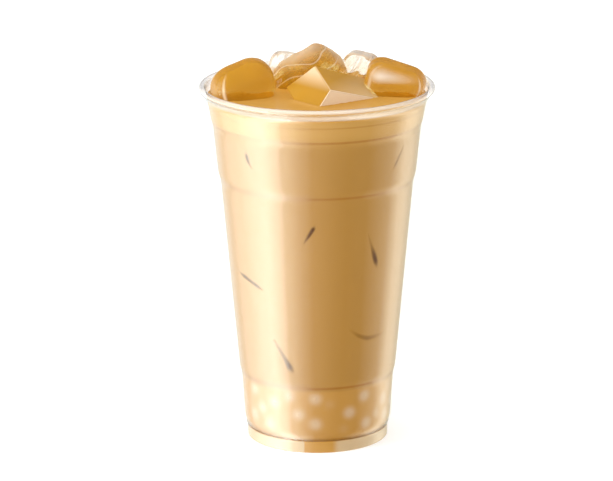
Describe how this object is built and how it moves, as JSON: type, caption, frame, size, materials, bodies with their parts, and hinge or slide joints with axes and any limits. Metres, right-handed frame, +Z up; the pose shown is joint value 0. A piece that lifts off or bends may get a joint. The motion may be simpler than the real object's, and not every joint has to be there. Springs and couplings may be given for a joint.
{
  "type": "iced milk tea with pearls in a clear cup",
  "caption": "Tall clear plastic cup, tapered with a rolled rim and stepped wall, filled with milk tea; ice piled above the rim and white pearls lying on the floor.",
  "frame": {"origin": "centre of the cup's foot, on the surface that it stands on", "axes": "+Z up along the cup's axis; the front, where the picture looks from, is towards -Y"},
  "size_m": [0.098, 0.098, 0.1634],
  "materials": {
    "clear_plastic": "clear, smooth and glossy",
    "milk_tea": "opaque tan liquid, wet and smooth",
    "pearls": "milky white, moist",
    "ice": "wet, glassy, tinted amber by the tea"
  },
  "bodies": {
    "root": {"cup": "clear_plastic", "milk_tea": "milk_tea", "pearls": "pearls", "ice_left": "ice", "ice_right": "ice", "ice_front": "ice", "ice_centre": "ice", "ice_back_left": "ice", "ice_back_right": "ice", "ice_back": "ice"}
  },
  "joints": []
}
